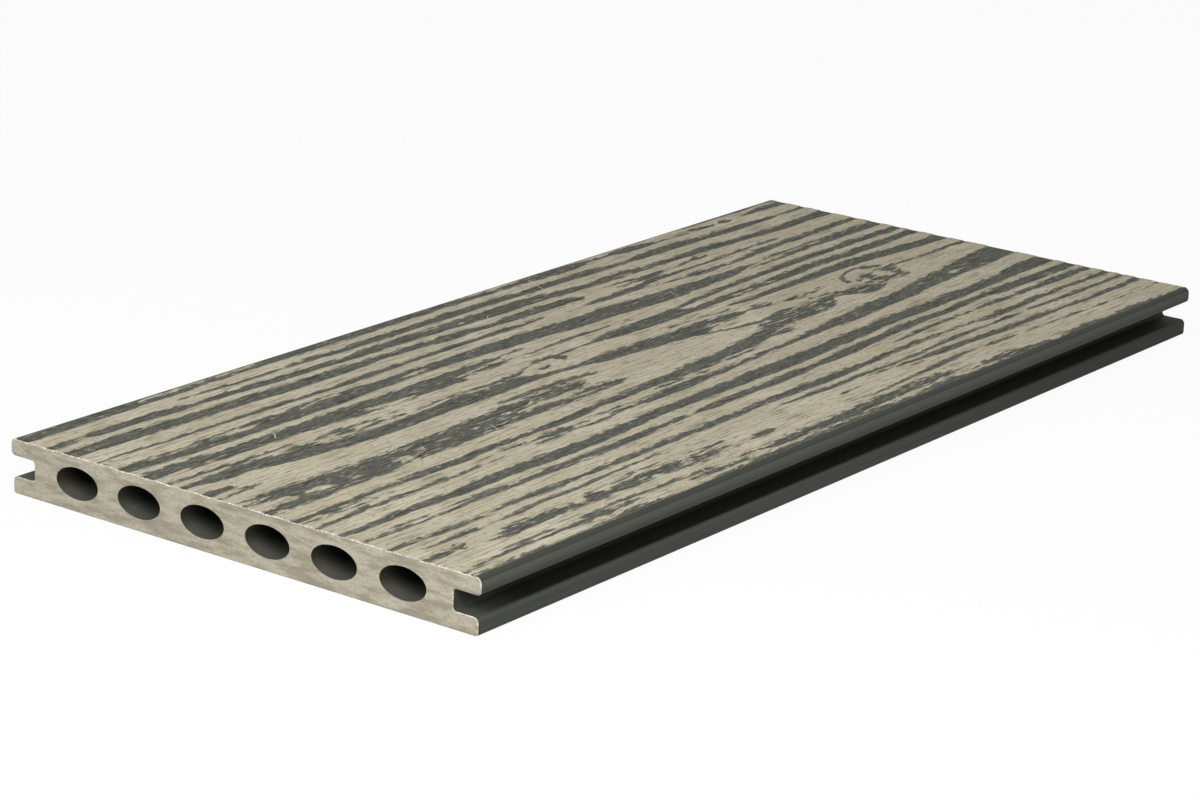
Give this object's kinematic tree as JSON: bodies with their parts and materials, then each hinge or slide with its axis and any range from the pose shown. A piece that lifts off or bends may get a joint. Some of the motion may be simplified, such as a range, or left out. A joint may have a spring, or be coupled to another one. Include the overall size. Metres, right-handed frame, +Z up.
{
  "type": "decking board",
  "caption": "Flat hollow composite decking board with oval chambers, a clip groove along each side and a wood-grain embossed walking face.",
  "frame": {"origin": "middle of the flat underside", "axes": "+X along the board's length, +Y across its width, +Z up out of the walking face"},
  "size_m": [0.46, 0.21, 0.02],
  "materials": {
    "composite": "matte wood-plastic composite: embossed taupe and grey-green wood grain on the walking face, dark extruded skin in the chambers and grooves, pale sawn ends"
  },
  "bodies": {
    "root": {"decking_board": "composite"}
  },
  "joints": []
}
